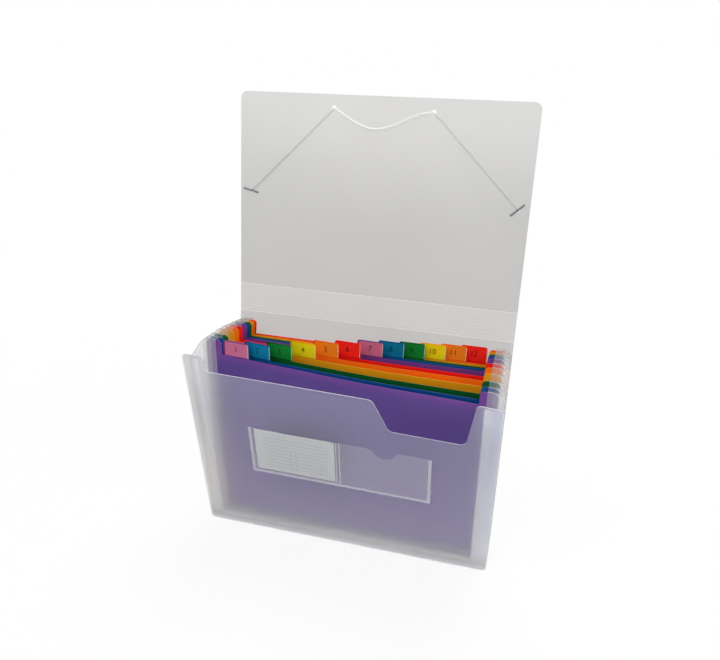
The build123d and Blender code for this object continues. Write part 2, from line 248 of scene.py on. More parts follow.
# Studio: lamps as name, place, width and power
LAMP_TARGET = (0.0, 0.0, 0.2)
LAMPS = (
    ("key", (-1.2, -1.5, 2.3), 1.8, 22.0),
    ("fill", (1.8, -1.2, 1.4), 1.8, 14.0),
    ("back", (0.2, 1.2, 2.2), 1.6, 32.0),
)
WHITE = (1.0, 1.0, 1.0)
AMBIENT_STRENGTH = 0.45
FLOOR_NEAR_GLOW = 0.86
FLOOR_FADE = (0.3, 0.9)
FLOOR_DROP = 0.0002
MAX_BOUNCES = 48

# Finishes: a grain is its scale, strength and depth, and a mottle is its scale and amount
SHEET_GRAIN = (1400.0, 0.12, 0.0002)
TINT_GRAIN = (1400.0, 0.10, 0.0002)
FILM_GRAIN = (900.0, 0.08, 0.0002)
SLEEVE_GRAIN = (900.0, 0.06, 0.0002)
PAPER_GRAIN = (1800.0, 0.2, 0.0001)
BRAID_GRAIN = (2600.0, 0.35, 0.0003)
STEEL_GRAIN = (3000.0, 0.15, 0.0001)
# The covers' broad mottle is painted shading, standing in for the light and shade of a softly wavy sheet
COVER_SHADING_MOTTLE = (9.0, 0.05)
TINT_MOTTLE = (35.0, 0.06)
PAPER_MOTTLE = (260.0, 0.03)
INK_MOTTLE = (900.0, 0.2)
GRAIN_DETAIL = 2.0
GRAIN_ROUGHNESS = 0.6
MOTTLE_DETAIL = 3.0
COVER_ROUGHNESS = 0.34
COVER_INDEX = 1.18
EDGE_ROUGHNESS = 0.45
FILM_ROUGHNESS = 0.3
TINT_ROUGHNESS = 0.42
TINT_SPECULAR = 0.35
SLEEVE_ROUGHNESS = 0.25
PAPER_ROUGHNESS = 0.85
CARD_ROUGHNESS = 0.8
PAPER_SPECULAR = 0.2
INK_ROUGHNESS = 0.6
BRAID_ROUGHNESS = 0.7
STEEL_ROUGHNESS = 0.3

# How much light passes straight through the covers, and how milky each film is
FRONT_PASSING = 0.90
FLAP_PASSING = 0.86
FILM_CLEARNESS = (0.985, 0.985, 0.985)
PLEAT_HAZE = 0.56
RIM_HAZE = 0.62
FOOT_HAZE = 0.50
LABEL_HAZE = 0.17
WELD_HAZE = 0.55
SLEEVE_HAZE = 0.09
SLEEVE_CROSSING = 0.25

# The share of a finish that is lit from behind
EDGE_GLOW = 0.4
PLEAT_GLOW = 0.25
LABEL_GLOW = 0.1
TINT_GLOW = 0.3
SLEEVE_GLOW = 0.4
SLIP_GLOW = 0.05
BRAID_GLOW = 0.35

# Sockets of Blender's colour mix node
MIX_FIRST = 6
MIX_SECOND = 7
MIX_RESULT = 2

# How finely corners, beads and holes are cut
CORNER_SEGMENTS = 6
BEAD_SEGMENTS = 2
HOLE_SIDES = 24
CUT_TOLERANCE = 1e-6


class FolderSizes(bpy.types.PropertyGroup):
    """Sizes of the soft and thin pieces."""

    divider_bow: bpy.props.FloatProperty(
        name="Divider bow",
        description="How far the middle divider's upper edge bows to the front",
        default=0.003,
        unit="LENGTH",
    )
    divider_lean: bpy.props.FloatProperty(
        name="Divider lean",
        description="How far the foremost divider's left top corner leans back, the others less and less",
        default=0.015,
        unit="LENGTH",
    )
    right_curl: bpy.props.FloatProperty(
        name="Right curl",
        description="How far the front panel's right top corner curls forward, the dividers' less and less",
        default=0.005,
        unit="LENGTH",
    )
    skew: bpy.props.FloatProperty(
        name="Skew",
        description="How far the front panel's top corners hang high at the left and low at the right",
        default=0.005,
        unit="LENGTH",
    )
    gusset_film: bpy.props.FloatProperty(
        name="Gusset film",
        description="Thickness of the pleated film",
        default=0.00025,
        unit="LENGTH",
    )
    number_height: bpy.props.FloatProperty(
        name="Number height",
        description="Type size of the numbers on the tabs",
        default=0.0085,
        unit="LENGTH",
    )
    floor_size: bpy.props.FloatProperty(
        name="Floor size",
        description="Side of the floor",
        default=8.0,
        unit="LENGTH",
    )


def colour_property(label, default):
    """A colour that a user can change."""
    return bpy.props.FloatVectorProperty(
        name=label,
        description=f"Colour of the {label.lower()}",
        default=default,
        size=3,
        subtype="COLOR",
        min=0,
        max=1,
    )


class FolderColours(bpy.types.PropertyGroup):
    """Colours of the folder's materials, as linear values."""

    cover: colour_property("Flap and back sheet", (0.60, 0.595, 0.585))
    # Painted light: the flap's far end is given a lighter tone
    flap_end: colour_property("Flap's far end", (0.73, 0.725, 0.715))
    spine: colour_property("Spine", (0.67, 0.655, 0.64))
    front: colour_property("Front sheet", (0.97, 0.98, 1.0))
    # Painted shade: the front sheet's top is given a darker tone
    front_top: colour_property("Front sheet's top", (0.865, 0.87, 0.92))
    edge: colour_property("Cut edges", (0.80, 0.79, 0.83))
    film: colour_property("Clear film", (0.85, 0.845, 0.85))
    # Painted shade: the film under the pockets is given a darker colour for the shade it lies in
    foot_film: colour_property("Clear film under the pockets", (0.66, 0.655, 0.66))
    film_rim: colour_property("Clear film's top edge", (0.50, 0.51, 0.51))
    margin_left: colour_property("Film's welded margin at the left", (0.66, 0.62, 0.53))
    margin_right: colour_property("Film's welded margin at the right", (0.57, 0.59, 0.665))
    # Painted shade: the film margin's foot is given a darker tone
    margin_foot: colour_property("Film's welded margin at the foot", (0.40, 0.405, 0.42))
    label: colour_property("Card pocket's film", (0.95, 0.95, 0.96))
    paper: colour_property("Card", (0.525, 0.54, 0.555))
    slip: colour_property("Tab slips", (0.98, 0.98, 0.97))
    ruling: colour_property("Card ruling", (0.36, 0.40, 0.41))
    ink: colour_property("Number ink", (0.03, 0.03, 0.04))
    elastic: colour_property("Elastic", (0.93, 0.94, 0.93))
    steel: colour_property("Cord tips", (0.17, 0.175, 0.18))
    floor: colour_property("Floor", (0.90, 0.90, 0.90))
    purple: colour_property("Purple dividers", (0.138, 0.074, 0.34))
    blue: colour_property("Blue dividers", (0.006, 0.10, 0.36))
    green: colour_property("Green dividers", (0.004, 0.12, 0.02))
    amber: colour_property("Amber dividers", (0.90, 0.44, 0.012))
    orange: colour_property("Orange dividers", (0.95, 0.24, 0.010))
    red: colour_property("Red dividers", (0.86, 0.018, 0.012))
    # Painted light: brighter colours for the dividers' top band
    purple_top: colour_property("Purple dividers' top band", (0.23, 0.074, 0.40))
    blue_top: colour_property("Blue dividers' top band", (0.008, 0.13, 0.42))
    green_top: colour_property("Green dividers' top band", (0.005, 0.17, 0.03))
    amber_top: colour_property("Amber dividers' top band", (0.94, 0.50, 0.012))
    orange_top: colour_property("Orange dividers' top band", (0.96, 0.25, 0.010))
    red_top: colour_property("Red dividers' top band", (0.90, 0.018, 0.012))
    purple_tab: colour_property("Purple tabs", (0.66, 0.20, 0.35))
    blue_tab: colour_property("Blue tabs", (0.006, 0.24, 0.42))
    green_tab: colour_property("Green tabs", (0.010, 0.28, 0.045))
    amber_tab: colour_property("Amber tabs", (0.98, 0.80, 0.012))
    orange_tab: colour_property("Orange tabs", (1.0, 0.30, 0.02))
    red_tab: colour_property("Red tabs", (1.0, 0.03, 0.02))


def sheet_frame(node, top_painted_light, thickness):
    """A flat CAD sheet's own frame: X across, Y to its rear, Z up the sheet, from the middle of its foot."""
    mesh = frame["nodes"][node].data
    normal = max(mesh.polygons, key=lambda face: face.area).normal.copy()
    if normal.y < 0:
        normal.negate()
    across = Vector((1, 0, 0))
    up = across.cross(normal)
    height = max(up.dot(vert.co) for vert in mesh.vertices) - top_painted_light
    depth = max(normal.dot(vert.co) for vert in mesh.vertices) - thickness / 2
    turn = Matrix((across, normal, up)).transposed().to_4x4()
    return Matrix.Translation(normal * depth + up * height) @ turn


def standing_frames():
    """The frames of the front panel, the dividers and the back panel, front to back."""
    frames = [sheet_frame("front_panel", EAR_TOP, COVER_THICKNESS)]
    for number in range(1, DIVIDER_COUNT + 1):
        frames.append(sheet_frame(f"divider_{number:02d}", TAB_TOP, DIVIDER_THICKNESS))
    nose = COVER_THICKNESS / 2
    frames.append(sheet_frame("back_panel", BACK_HEIGHT + nose, COVER_THICKNESS))
    return frames


def crease_frame(joint, node):
    """A cover sheet's frame with its foot on its fold line."""
    turned = sheet_frame(node, 0, COVER_THICKNESS)
    return Matrix.Translation(Vector(JOINTS[joint]["pos_m"])) @ turned.to_3x3().to_4x4()


FRAMES = standing_frames()
FLAP_FRAME = crease_frame("flap_fold", "flap")
BODIES = ["front", *[f"divider_{number:02d}" for number in range(1, DIVIDER_COUNT + 1)], "back"]


def hue_of(number):
    """The colour name of a divider, which repeats after six."""
    return HUES[(number - 1) % len(HUES)]


def half_sheet(index):
    """Half the thickness of the front panel (0), a divider or the back panel (last)."""
    return (COVER_THICKNESS if index in (0, POCKET_COUNT) else DIVIDER_THICKNESS) / 2


def tab_centre(number):
    """X of a divider's tab, from the tab insert of the CAD model."""
    low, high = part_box(f"tab_insert_{number:02d}")
    return (low.x + high.x) / 2


# Meshes


def corner_bevel(bm, vert, radius):
    """Round one corner of a flat outline."""
    before, after = [edge.other_vert(vert).co - vert.co for edge in vert.link_edges]
    run = radius / math.tan(before.angle(after) / 2)
    bmesh.ops.bevel(
        bm,
        geom=[vert],
        offset=run,
        offset_type="OFFSET",
        affect="VERTICES",
        segments=CORNER_SEGMENTS,
        profile=0.5,
        material=-1,
    )


def cut_outline(corners):
    """A flat face on the XZ plane from (x, z, corner radius) rows."""
    bm = bmesh.new()
    verts = [bm.verts.new((x, 0, z)) for x, z, _ in corners]
    bm.faces.new(verts)
    for vert, (_, _, radius) in zip(verts, corners):
        if radius:
            corner_bevel(bm, vert, radius)
    return bm


def punch(bm, holes, diameter):
    """Cut round holes in a flat outline."""
    bmesh.ops.delete(bm, geom=bm.faces[:], context="FACES_ONLY")
    upright = Matrix.Rotation(math.pi / 2, 4, "X")
    for x, z in holes:
        place = Matrix.Translation((x, 0, z)) @ upright
        bmesh.ops.create_circle(bm, radius=diameter / 2, segments=HOLE_SIDES, matrix=place)
    bmesh.ops.triangle_fill(bm, edges=bm.edges[:], use_beauty=True, use_dissolve=False)


def divide(bm, width, height, cuts_across, cuts_up):
    """Cut a flat sheet into a grid, so that it can bend."""
    planes = [((width * (step / cuts_across - 0.5), 0, 0), (1, 0, 0)) for step in range(1, cuts_across)]
    planes += [((0, 0, height * step / cuts_up), (0, 0, 1)) for step in range(1, cuts_up)]
    for place, normal in planes:
        geom = bm.verts[:] + bm.edges[:] + bm.faces[:]
        bmesh.ops.bisect_plane(bm, geom=geom, dist=CUT_TOLERANCE, plane_co=place, plane_no=normal)


def map_sheet(bm):
    """A UV map of the flat sheet's own X and Z, in metres."""
    layer = bm.loops.layers.uv.new("sheet")
    for face in bm.faces:
        for loop in face.loops:
            loop[layer].uv = (loop.vert.co.x, loop.vert.co.z)


def grid_strip(steps, rows, place):
    """A strip of faces at place(across, up), both from 0 to 1, whose points keep their share across."""
    bm = bmesh.new()
    bmesh.ops.create_grid(bm, x_segments=steps, y_segments=rows, size=0.5)
    crossing = bm.verts.layers.float.new("crossing")
    for vert in bm.verts:
        vert[crossing] = vert.co.x + 0.5
        vert.co = place(vert.co.x + 0.5, vert.co.y + 0.5)
    return bm


def add_piece(name, bm, place, materials, slot, thickness=0.0, smooth=True):
    """Turn a bmesh in a sheet's own frame into a piece at the origin, and give a sheet its thickness."""
    bmesh.ops.recalc_face_normals(bm, faces=bm.faces[:])
    for edge in bm.edges:
        edge.smooth = not edge.is_boundary
    for face in bm.faces:
        face.smooth = smooth
    bm.transform(place)
    mesh = bpy.data.meshes.new(name)
    bm.to_mesh(mesh)
    bm.free()
    for material in materials:
        mesh.materials.append(material)
    piece = bpy.data.objects.new(name, mesh)
    bpy.context.scene.collection.objects.link(piece)
    if thickness:
        film = piece.modifiers.new("thickness", "SOLIDIFY")
        film.thickness = thickness
        film.offset = 0
        film.material_offset_rim = len(materials) - 1
    return piece


def share(value, low, high):
    """How far a value has come from low to high, from 0 to 1."""
    return min(1.0, max(0.0, (value - low) / (high - low)))


def eased(part):
    """A share from 0 to 1 that starts and ends gently."""
    return part**2 * (3 - 2 * part)


def bent(number, x, y, z):
    """A point of a standing sheet's flat shape, moved by the sheet's bow, lean, curl and skew."""
    sizes = bpy.context.scene.folder_sizes
    rear = number / POCKET_COUNT
    half = COVER_WIDTH / 2
    up = share(z, 0, EAR_TOP)
    bow = sizes.divider_bow * math.sin(math.pi * rear) * max(0.0, 1 - (x / BOW_HALF_WIDTH) ** 2)
    lean = sizes.divider_lean * (1 - rear) * eased(share(-x, -LEAN_EDGE, half)) if number else 0.0
    corner = share(x, 0, half) ** 2 * share(z, CURL_FOOT, EAR_TOP) ** BEND_GROWTH
    curl = sizes.right_curl * (1 - rear) * corner
    rise = sizes.skew * max(0.0, 1 - number / SKEWED_SHEETS) * up * -x / half
    return Vector((x, y - (bow - lean) * up**BEND_GROWTH - curl, z + rise))


def bend(bm, number):
    """Bend a flat bmesh as the standing sheet with this number bends."""
    for vert in bm.verts:
        vert.co = bent(number, *vert.co)


# Materials


def rgba(colour):
    """A colour as four numbers."""
    return (*colour, 1.0)


def each_face(haze):
    """The haze of each of a film's two faces that gives the film's own."""
    return 1 - math.sqrt(1 - haze)


class Nodes:
    """Short calls for the node tree of a material or the world."""

    def __init__(self, owner, output="ShaderNodeOutputMaterial"):
        self.owner = owner
        self.owner.use_nodes = True
        self.tree = owner.node_tree
        self.tree.nodes.clear()
        self.output = self.tree.nodes.new(output)

    def add(self, kind, **values):
        """A node with its properties and its input sockets' own values."""
        node = self.tree.nodes.new(kind)
        for key, value in values.items():
            if hasattr(node, key):
                setattr(node, key, value)
            else:
                node.inputs[key.replace("_", " ")].default_value = value
        return node

    def link(self, start, end):
        """Join an output socket to an input socket."""
        self.tree.links.new(start, end)

    def tint(self, socket, tone):
        """Give a socket a colour, or the colour of another socket."""
        if isinstance(tone, bpy.types.NodeSocket):
            self.link(tone, socket)
        else:
            socket.default_value = rgba(tone)

    def mix(self, factor, first, second):
        """Two shaders mixed by a constant factor or a socket."""
        node = self.tree.nodes.new("ShaderNodeMixShader")
        if isinstance(factor, float):
            node.inputs["Fac"].default_value = factor
        else:
            self.link(factor, node.inputs["Fac"])
        self.link(first, node.inputs[1])
        self.link(second, node.inputs[2])
        return node.outputs[0]

    def lit_through(self, face, tone, glowing):
        """A face of which a share is lit from behind, in a tone."""
        glow = self.add("ShaderNodeBsdfTranslucent")
        self.tint(glow.inputs["Color"], tone)
        return self.mix(glowing, face.outputs[0], glow.outputs[0])

    def between(self, factor, first, second):
        """A tone between two tones, by a socket that runs from 0 to 1."""
        node = self.add("ShaderNodeMix", data_type="RGBA")
        self.link(factor, node.inputs["Factor"])
        self.tint(node.inputs[MIX_FIRST], first)
        self.tint(node.inputs[MIX_SECOND], second)
        return node.outputs[MIX_RESULT]

    def math(self, operation, first, second):
        """A math node on two sockets."""
        node = self.add("ShaderNodeMath", operation=operation)
        self.link(first, node.inputs[0])
        self.link(second, node.inputs[1])
        return node.outputs[0]

    def both(self, first, second):
        """One where two masks are one."""
        return self.math("MULTIPLY", first, second)

    def near(self, socket, value, reach):
        """One where a socket is within reach of a value."""
        node = self.add("ShaderNodeMath", operation="COMPARE")
        self.link(socket, node.inputs[0])
        node.inputs[1].default_value = value
        node.inputs[2].default_value = reach
        return node.outputs[0]

    def window(self, across, up, area):
        """One inside a rectangle given by its middle and its half sizes."""
        x, z, half_width, half_height = area
        return self.both(self.near(across, x, half_width), self.near(up, z, half_height))

    def span(self, socket, low, high, first, last, interpolation="LINEAR"):
        """A socket's run from low to high, taken to run from first to last."""
        node = self.add("ShaderNodeMapRange", interpolation_type=interpolation)
        for name, value in zip(("From Min", "From Max", "To Min", "To Max"), (low, high, first, last)):
            node.inputs[name].default_value = value
        self.link(socket, node.inputs["Value"])
        return node.outputs[0]

    def ramp(self, distance, stops):
        """The haze of each film face along a distance, from (distance, film haze) stops."""
        reach = stops[-1][0]
        node = self.add("ShaderNodeValToRGB")
        elements = node.color_ramp.elements
        for place, haze in stops:
            if place == 0:
                element = elements[0]
            elif place == reach:
                element = elements[-1]
            else:
                element = elements.new(place / reach)
            element.color = rgba([each_face(haze)] * 3)
        self.link(self.span(distance, 0.0, reach, 0.0, 1.0), node.inputs["Fac"])
        return node.outputs["Color"]

    def object_place(self):
        """The Object coordinates."""
        return self.add("ShaderNodeTexCoord").outputs["Object"]

    def sheet_place(self):
        """The distances across and up a flat sheet, from its own UV map in metres."""
        place = self.add("ShaderNodeUVMap", uv_map="sheet")
        axes = self.add("ShaderNodeSeparateXYZ")
        self.link(place.outputs[0], axes.inputs[0])
        return axes.outputs[0], axes.outputs[1]

    def grain(self, scale, strength, depth):
        """A fine bump on Object coordinates."""
        noise = self.add("ShaderNodeTexNoise", Scale=scale, Detail=GRAIN_DETAIL, Roughness=GRAIN_ROUGHNESS)
        self.link(self.object_place(), noise.inputs["Vector"])
        bump = self.add("ShaderNodeBump", Strength=strength, Distance=depth)
        self.link(noise.outputs["Fac"], bump.inputs["Height"])
        return bump.outputs["Normal"]

    def mottle(self, colour, scale, amount):
        """A colour that varies a little over the surface."""
        noise = self.add("ShaderNodeTexNoise", Scale=scale, Detail=MOTTLE_DETAIL)
        self.link(self.object_place(), noise.inputs["Vector"])
        ramp = self.add("ShaderNodeValToRGB")
        for element, level in zip(ramp.color_ramp.elements, (1 - amount, 1 + amount)):
            element.color = rgba([min(1.0, part * level) for part in colour])
        self.link(noise.outputs["Fac"], ramp.inputs["Fac"])
        return ramp.outputs["Color"]

    def seen(self):
        """One for rays that show the surroundings to the camera, straight on or by way of the pieces."""
        path = self.add("ShaderNodeLightPath")
        rays = path.outputs["Is Camera Ray"]
        for name in ("Is Transmission Ray", "Is Glossy Ray"):
            rays = self.math("MAXIMUM", rays, path.outputs[name])
        return rays

    def done(self, shader):
        """Put a shader on the surface."""
        self.link(shader, self.output.inputs["Surface"])
        return self.owner


def material_nodes(name):
    """The node calls of a new material."""
    return Nodes(bpy.data.materials.new(name))


def frosted_sheet(name, colour, passing, painted_far_colour, reach):
    """Milky polypropylene sheet: rough glass over a haze with a broad mottle of painted shading, and painted
    light and shade that runs to another tone at its far end.
    """
    nodes = material_nodes(name)
    sheet = nodes.add(
        "ShaderNodeBsdfPrincipled", Roughness=COVER_ROUGHNESS, IOR=COVER_INDEX, Transmission_Weight=passing
    )
    axes = nodes.add("ShaderNodeSeparateXYZ")
    nodes.link(nodes.object_place(), axes.inputs[0])
    # Painted light and shade: the tone changes with height towards the far colour
    rise = nodes.span(axes.outputs["Z"], *reach, 0.0, 1.0, "SMOOTHSTEP")
    # Painted shading: a broad mottle for the light and shade of a softly wavy sheet
    tones = [nodes.mottle(tone, *COVER_SHADING_MOTTLE) for tone in (colour, painted_far_colour)]
    nodes.link(nodes.between(rise, *tones), sheet.inputs["Base Color"])
    nodes.link(nodes.grain(*SHEET_GRAIN), sheet.inputs["Normal"])
    return nodes.done(sheet.outputs[0])


def cut_edge(name, colour):
    """The cut rim of a milky sheet, which gathers light."""
    nodes = material_nodes(name)
    rim = nodes.add("ShaderNodeBsdfPrincipled", Base_Color=rgba(colour), Roughness=EDGE_ROUGHNESS)
    return nodes.done(nodes.lit_through(rim, colour, EDGE_GLOW))


def milky_film(nodes, tone, glowing):
    """The clear and the milky shader of a film, for a colour or a socket."""
    through = nodes.add("ShaderNodeBsdfTransparent", Color=rgba(FILM_CLEARNESS))
    gloss = nodes.add("ShaderNodeBsdfPrincipled", Roughness=FILM_ROUGHNESS)
    nodes.tint(gloss.inputs["Base Color"], tone)
    nodes.link(nodes.grain(*FILM_GRAIN), gloss.inputs["Normal"])
    return through.outputs[0], nodes.lit_through(gloss, tone, glowing)


def clear_film(name, colour, haze, glowing):
    """Thin film that shows what is behind it through a white haze."""
    nodes = material_nodes(name)
    through, milk = milky_film(nodes, colour, glowing)
    return nodes.done(nodes.mix(each_face(haze), through, milk))


def margin_film(name, left_colour, right_colour, foot_shade_colour, glowing):
    """The film's welded margin on the front panel, milky at the outer edges and clear inwards, through a
    long faint haze that is painted light; its darker foot is painted shade.
    """
    nodes = material_nodes(name)
    across, up = nodes.sheet_place()
    half = COVER_WIDTH / 2
    from_left = nodes.span(across, -half, half, 0.0, COVER_WIDTH)
    from_right = nodes.span(across, -half, half, COVER_WIDTH, 0.0)
    haze = nodes.ramp(up, BOTTOM_HAZE)
    for distance, stops in ((from_left, LEFT_HAZE), (from_right, RIGHT_HAZE)):
        haze = nodes.math("MAXIMUM", haze, nodes.ramp(distance, stops))
    tone = nodes.between(nodes.span(across, -half, half, 0.0, 1.0), left_colour, right_colour)
    # Painted shade: a darker tone at the margin's foot
    shaded = nodes.between(nodes.span(up, *FOOT_SHADE, 0.0, 1.0), foot_shade_colour, tone)
    through, milk = milky_film(nodes, shaded, glowing)
    return nodes.done(nodes.mix(haze, through, milk))


def tinted_sheet(name, colour, painted_light_top_colour):
    """Dyed polypropylene sheet, slightly glossy, lit from behind as well, with a brighter colour in its top
    band that is painted light.
    """
    nodes = material_nodes(name)
    face = nodes.add(
        "ShaderNodeBsdfPrincipled", Roughness=TINT_ROUGHNESS, Specular_IOR_Level=TINT_SPECULAR
    )
    _, up = nodes.sheet_place()
    # Painted light: the colour brightens into the top band
    rise = nodes.span(up, *TOP_BAND_PAINTED_LIGHT, 0.0, 1.0, "SMOOTHSTEP")
    tones = [nodes.mottle(tone, *TINT_MOTTLE) for tone in (colour, painted_light_top_colour)]
    nodes.link(nodes.between(rise, *tones), face.inputs["Base Color"])
    nodes.link(nodes.grain(*TINT_GRAIN), face.inputs["Normal"])
    return nodes.done(nodes.lit_through(face, painted_light_top_colour, TINT_GLOW))


def tinted_film(name, colour):
    """The dyed film of a tab's sleeve, clear enough to read the slip behind it."""
    nodes = material_nodes(name)
    crossing = [part**SLEEVE_CROSSING for part in colour]
    through = nodes.add("ShaderNodeBsdfTransparent", Color=rgba(crossing))
    gloss = nodes.add("ShaderNodeBsdfPrincipled", Base_Color=rgba(colour), Roughness=SLEEVE_ROUGHNESS)
    nodes.link(nodes.grain(*SLEEVE_GRAIN), gloss.inputs["Normal"])
    body = nodes.lit_through(gloss, colour, SLEEVE_GLOW)
    return nodes.done(nodes.mix(SLEEVE_HAZE, through.outputs[0], body))


def plain_paper(name, colour):
    """Uncoated paper with a faint fibre grain."""
    nodes = material_nodes(name)
    paper = nodes.add(
        "ShaderNodeBsdfPrincipled", Roughness=PAPER_ROUGHNESS, Specular_IOR_Level=PAPER_SPECULAR
    )
    nodes.link(nodes.mottle(colour, *PAPER_MOTTLE), paper.inputs["Base Color"])
    nodes.link(nodes.grain(*PAPER_GRAIN), paper.inputs["Normal"])
    return nodes.done(nodes.lit_through(paper, colour, SLIP_GLOW))


def ruled_card(name, colour, ruling):
    """Card printed with writing lines, a divided middle column and a small box."""
    nodes = material_nodes(name)
    across, up = nodes.sheet_place()
    rows = nodes.add("ShaderNodeMath", operation="MODULO")
    nodes.link(up, rows.inputs[0])
    rows.inputs[1].default_value = RULE_PITCH
    lines = nodes.near(rows.outputs[0], RULE_PITCH / 2, RULE_WIDTH / 2)
    printed = nodes.both(lines, nodes.window(across, up, RULED_AREA))
    for area in RULE_MARKS:
        printed = nodes.math("MAXIMUM", printed, nodes.window(across, up, area))
    paper = nodes.add(
        "ShaderNodeBsdfPrincipled", Roughness=CARD_ROUGHNESS, Specular_IOR_Level=PAPER_SPECULAR
    )
    tone = nodes.between(printed, nodes.mottle(colour, *PAPER_MOTTLE), ruling)
    nodes.link(tone, paper.inputs["Base Color"])
    return nodes.done(paper.outputs[0])


def flat_ink(name, colour):
    """Printed ink, dull and slightly uneven."""
    nodes = material_nodes(name)
    ink = nodes.add("ShaderNodeBsdfPrincipled", Roughness=INK_ROUGHNESS)
    nodes.link(nodes.mottle(colour, *INK_MOTTLE), ink.inputs["Base Color"])
    return nodes.done(ink.outputs[0])


def braided_elastic(name, colour):
    """The white braid of the cord, which lets some light through."""
    nodes = material_nodes(name)
    cord = nodes.add("ShaderNodeBsdfPrincipled", Base_Color=rgba(colour), Roughness=BRAID_ROUGHNESS)
    nodes.link(nodes.grain(*BRAID_GRAIN), cord.inputs["Normal"])
    return nodes.done(nodes.lit_through(cord, colour, BRAID_GLOW))


def plated_steel(name, colour):
    """Plated wire with a fine grain."""
    nodes = material_nodes(name)
    wire = nodes.add(
        "ShaderNodeBsdfPrincipled", Base_Color=rgba(colour), Metallic=1.0, Roughness=STEEL_ROUGHNESS
    )
    nodes.link(nodes.grain(*STEEL_GRAIN), wire.inputs["Normal"])
    return nodes.done(wire.outputs[0])


def studio_floor(name, colour):
    """A pale floor that looks white to the camera and keeps the object's shadow."""
    nodes = material_nodes(name)
    distance = nodes.add("ShaderNodeVectorMath", operation="LENGTH")
    nodes.link(nodes.object_place(), distance.inputs[0])
    fade = nodes.span(distance.outputs["Value"], *FLOOR_FADE, FLOOR_NEAR_GLOW, 1.0, "SMOOTHSTEP")
    lit = nodes.add("ShaderNodeBsdfDiffuse", Color=rgba(colour))
    white = nodes.add("ShaderNodeEmission", Strength=1.0)
    return nodes.done(nodes.mix(nodes.both(nodes.seen(), fade), lit.outputs[0], white.outputs[0]))


def made(maker, name, *values):
    """A material by its name, made once."""
    return bpy.data.materials.get(name) or maker(name, *values)


def cover_materials(name, colour, passing, painted_far_colour, reach):
    """A cover's sheet and its cut edge."""
    edge = bpy.context.scene.folder_colours.edge
    return [made(frosted_sheet, name, colour, passing, painted_far_colour, reach), made(cut_edge, "cut_edge", edge)]


def let_light_through(piece):
    """Milky sheets pass the lamps' light instead of shading what is behind them."""
    piece.visible_shadow = False


# Pieces


class FOLDER_OT_covers(bpy.types.Operator):
    """Cuts the front panel and the flap, and dresses the back panel and the spine"""

    bl_idname = "folder.covers"
    bl_label = "Covers"

    def front_corners(self):
        """The front panel's outline, with its ears and its finger notch."""
        half = COVER_WIDTH / 2
        inner = half - EAR_WIDTH
        notch_right = inner - NOTCH_RIGHT_FLANK
        notch_left = notch_right - NOTCH_BOTTOM_WIDTH
        notch_foot = FRONT_EDGE_HEIGHT - NOTCH_DEPTH
        return [
            (-half, 0, COVER_CORNER_RADIUS),
            (half, 0, COVER_CORNER_RADIUS),
            (half, EAR_TOP, EAR_RADIUS),
            (inner, EAR_TOP, EAR_RADIUS),
            (notch_right, notch_foot, NOTCH_RADIUS),
            (notch_left, notch_foot, NOTCH_RADIUS),
            (notch_left - NOTCH_LEFT_FLANK, FRONT_EDGE_HEIGHT, NOTCH_RADIUS),
            (-inner, FRONT_EDGE_HEIGHT, EAR_FOOT_RADIUS),
            (-inner, EAR_TOP, EAR_RADIUS),
            (-half, EAR_TOP, EAR_RADIUS),
        ]

    def execute(self, context):
        colours = context.scene.folder_colours
        # The flap lightens towards its far end as painted light, and the front sheet darkens towards its top
        # as painted shade
        front_tones = (colours.front, FRONT_PASSING, colours.front_top, FRONT_PAINTED_SHADE)
        flap_tones = (colours.cover, FLAP_PASSING, colours.flap_end, FLAP_PAINTED_LIGHT)
        spine_tones = (colours.spine, FLAP_PASSING, colours.spine, FLAP_PAINTED_LIGHT)
        front_materials = cover_materials("frosted_front", *front_tones)
        flap_materials = cover_materials("frosted_cover", *flap_tones)
        spine_materials = cover_materials("frosted_spine", *spine_tones)
        bm = cut_outline(self.front_corners())
        divide(bm, COVER_WIDTH, EAR_TOP, BOW_CUTS_ACROSS, BOW_CUTS_UP)
        bend(bm, 0)
        front = add_piece("front_sheet", bm, FRAMES[0], front_materials, "clear_cover", COVER_THICKNESS)
        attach(front, "front")
        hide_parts("front_panel")
        half = COVER_WIDTH / 2
        corners = [
            (-half, CREASE_START, 0),
            (half, CREASE_START, 0),
            (half, FLAP_LENGTH, FLAP_CORNER_RADIUS),
            (-half, FLAP_LENGTH, FLAP_CORNER_RADIUS),
        ]
        bm = cut_outline(corners)
        punch(bm, CORD_HOLES, CORD_HOLE)
        flap = add_piece("flap_sheet", bm, FLAP_FRAME, flap_materials, "clear_cover", COVER_THICKNESS)
        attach(flap, "flap")
        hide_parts("flap")
        kept = {"back_panel": flap_materials[0], "spine": spine_materials[0]}
        for node, material in kept.items():
            mesh = frame["nodes"][node].data
            mesh.materials.clear()
            mesh.materials.append(material)
            let_light_through(frame["nodes"][node])
        for piece in (front, flap):
            let_light_through(piece)
        return {"FINISHED"}


